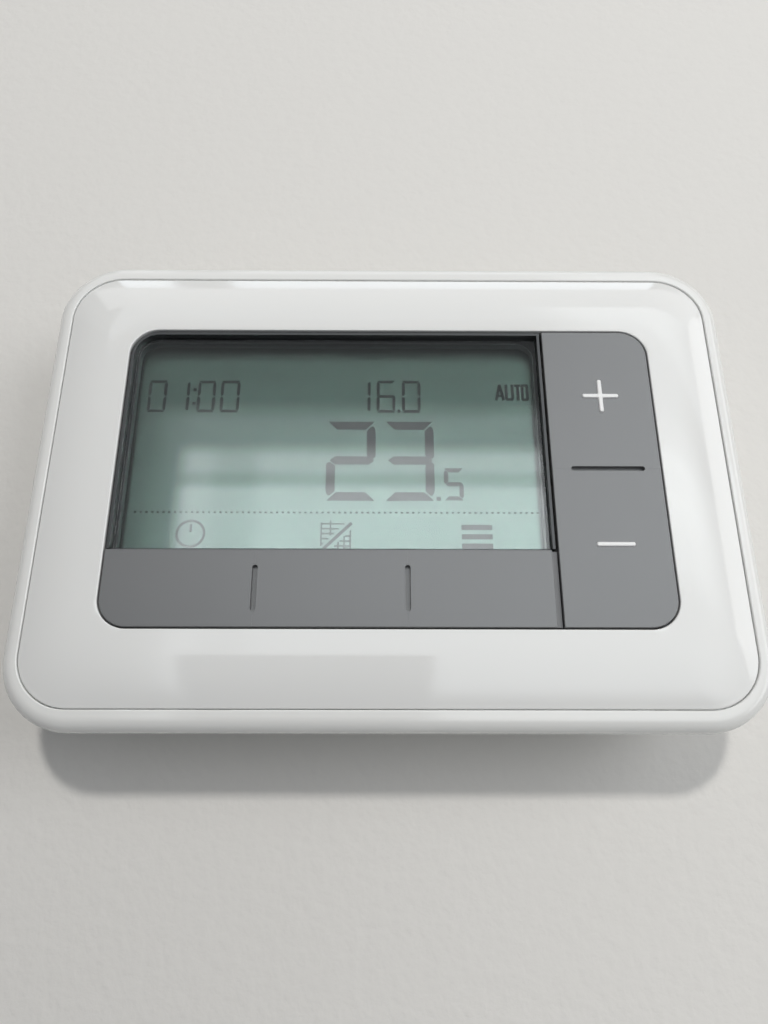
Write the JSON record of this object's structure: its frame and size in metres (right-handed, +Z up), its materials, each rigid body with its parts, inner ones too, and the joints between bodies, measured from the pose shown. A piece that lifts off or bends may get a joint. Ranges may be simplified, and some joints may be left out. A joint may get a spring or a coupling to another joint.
{
  "type": "wall thermostat",
  "caption": "Wall-mounted room thermostat: a white rounded head with a liquid-crystal display, soft keys and plus and minus keys, plugged onto a screw-fixed wall plate.",
  "frame": {"origin": "centre of the wall plate's back face, on the wall", "axes": "+X to the right as a person faces the thermostat, +Z up, -Y out into the room and +Y into the wall"},
  "size_m": [0.137, 0.0272, 0.096],
  "materials": {
    "cover_white": "high gloss, pillowed",
    "rim_white": "gloss moulding",
    "case_white": "fine spark texture",
    "plate_white": "fine spark texture",
    "key_grey": "satin, very fine grain",
    "frame_grey": "satin",
    "sign_white": "satin white",
    "bezel_black": "semi gloss black",
    "lens_clear": "clear polished window",
    "lcd_polariser": "grey green, faintly frosted",
    "lcd_glass": "clear glass",
    "lcd_reflector": "silvered film",
    "light_guide": "clear acrylic with a dotted back",
    "holder_white": "plain moulded",
    "elastomer_pink": "striped silicone",
    "plunger_dark": "plain moulded",
    "switch_black": "plain moulded",
    "board_green": "solder resist over copper",
    "chip_black": "moulded epoxy",
    "relay_blue": "plain moulded",
    "can_aluminium": "drawn can",
    "crystal_steel": "drawn can",
    "led_white": "moulded lens",
    "bead_dark": "dipped bead on tinned leads",
    "contact_brass": "plated strip",
    "screw_steel": "zinc plated",
    "cage_steel": "zinc plated",
    "spring_nickel": "nickel plated wire",
    "block_grey": "flame retardant moulding",
    "cell_jacket": "printed film over steel"
  },
  "bodies": {
    "wall_plate": {"wall_plate": "plate_white", "terminal_block": "block_grey", "terminal_contacts": "contact_brass"},
    "head": {"rear_case": "case_white", "front_housing": "rim_white", "front_cover": "cover_white", "display_bezel": "bezel_black", "display_lens": "lens_clear", "lcd_polariser": "lcd_polariser", "lcd_front_glass": "lcd_glass", "lcd_rear_glass": "lcd_glass", "lcd_reflector": "lcd_reflector", "light_guide": "light_guide", "backlight_leds": "led_white", "lcd_holder": "holder_white", "elastomer_connector": "elastomer_pink", "key_frame": "frame_grey", "tact_switches": "switch_black", "main_board": "board_green", "board_screws": "screw_steel", "microcontroller": "chip_black", "relay": "relay_blue", "capacitor": "can_aluminium", "crystal": "crystal_steel", "thermistor": "bead_dark", "contact_pins": "contact_brass", "battery_cell_left": "cell_jacket", "battery_cell_right": "cell_jacket", "battery_plate": "spring_nickel", "battery_spring": "spring_nickel"},
    "key_left": {"key_left": "key_grey", "switch_plunger_left": "plunger_dark"},
    "key_middle": {"key_middle": "key_grey", "switch_plunger_middle": "plunger_dark"},
    "key_right": {"key_right": "key_grey", "switch_plunger_right": "plunger_dark"},
    "key_plus": {"key_plus": "key_grey", "switch_plunger_plus": "plunger_dark", "plus_sign": "sign_white"},
    "key_minus": {"key_minus": "key_grey", "switch_plunger_minus": "plunger_dark", "minus_sign": "sign_white"},
    "terminal_screw_1": {"terminal_screw_1": "screw_steel"},
    "terminal_cage_1": {"terminal_cage_1": "cage_steel"},
    "terminal_screw_2": {"terminal_screw_2": "screw_steel"},
    "terminal_cage_2": {"terminal_cage_2": "cage_steel"},
    "terminal_screw_3": {"terminal_screw_3": "screw_steel"},
    "terminal_cage_3": {"terminal_cage_3": "cage_steel"}
  },
  "joints": [
    {"name": "head_release", "type": "slide", "parent": "wall_plate", "child": "head", "axis": [0, -1, 0], "range_m": [0, 0.03]},
    {"name": "key_left_press", "type": "slide", "parent": "head", "child": "key_left", "axis": [0, 1, 0], "range_m": [0, 0.0005], "stiffness_N_per_m": 3000},
    {"name": "key_middle_press", "type": "slide", "parent": "head", "child": "key_middle", "axis": [0, 1, 0], "range_m": [0, 0.0005], "stiffness_N_per_m": 3000},
    {"name": "key_right_press", "type": "slide", "parent": "head", "child": "key_right", "axis": [0, 1, 0], "range_m": [0, 0.0005], "stiffness_N_per_m": 3000},
    {"name": "key_plus_press", "type": "slide", "parent": "head", "child": "key_plus", "axis": [0, 1, 0], "range_m": [0, 0.0005], "stiffness_N_per_m": 3000},
    {"name": "key_minus_press", "type": "slide", "parent": "head", "child": "key_minus", "axis": [0, 1, 0], "range_m": [0, 0.0005], "stiffness_N_per_m": 3000},
    {"name": "terminal_screw_1_turn", "type": "hinge", "parent": "wall_plate", "child": "terminal_screw_1", "pos_m": [-0.01, -0.0125, -0.002], "axis": [0, 1, 0], "range_deg": [0, 1080]},
    {"name": "terminal_cage_1_rise", "type": "slide", "parent": "wall_plate", "child": "terminal_cage_1", "axis": [0, -1, 0], "range_m": [0, 0.0021]},
    {"name": "terminal_screw_2_turn", "type": "hinge", "parent": "wall_plate", "child": "terminal_screw_2", "pos_m": [0, -0.0125, -0.002], "axis": [0, 1, 0], "range_deg": [0, 1080]},
    {"name": "terminal_cage_2_rise", "type": "slide", "parent": "wall_plate", "child": "terminal_cage_2", "axis": [0, -1, 0], "range_m": [0, 0.0021]},
    {"name": "terminal_screw_3_turn", "type": "hinge", "parent": "wall_plate", "child": "terminal_screw_3", "pos_m": [0.01, -0.0125, -0.002], "axis": [0, 1, 0], "range_deg": [0, 1080]},
    {"name": "terminal_cage_3_rise", "type": "slide", "parent": "wall_plate", "child": "terminal_cage_3", "axis": [0, -1, 0], "range_m": [0, 0.0021]}
  ],
  "couplings": [
    {"joint": "terminal_screw_1_turn", "follows": "terminal_cage_1_rise", "rad_per_m": 8975.9},
    {"joint": "terminal_screw_2_turn", "follows": "terminal_cage_2_rise", "rad_per_m": 8975.9},
    {"joint": "terminal_screw_3_turn", "follows": "terminal_cage_3_rise", "rad_per_m": 8975.9}
  ]
}
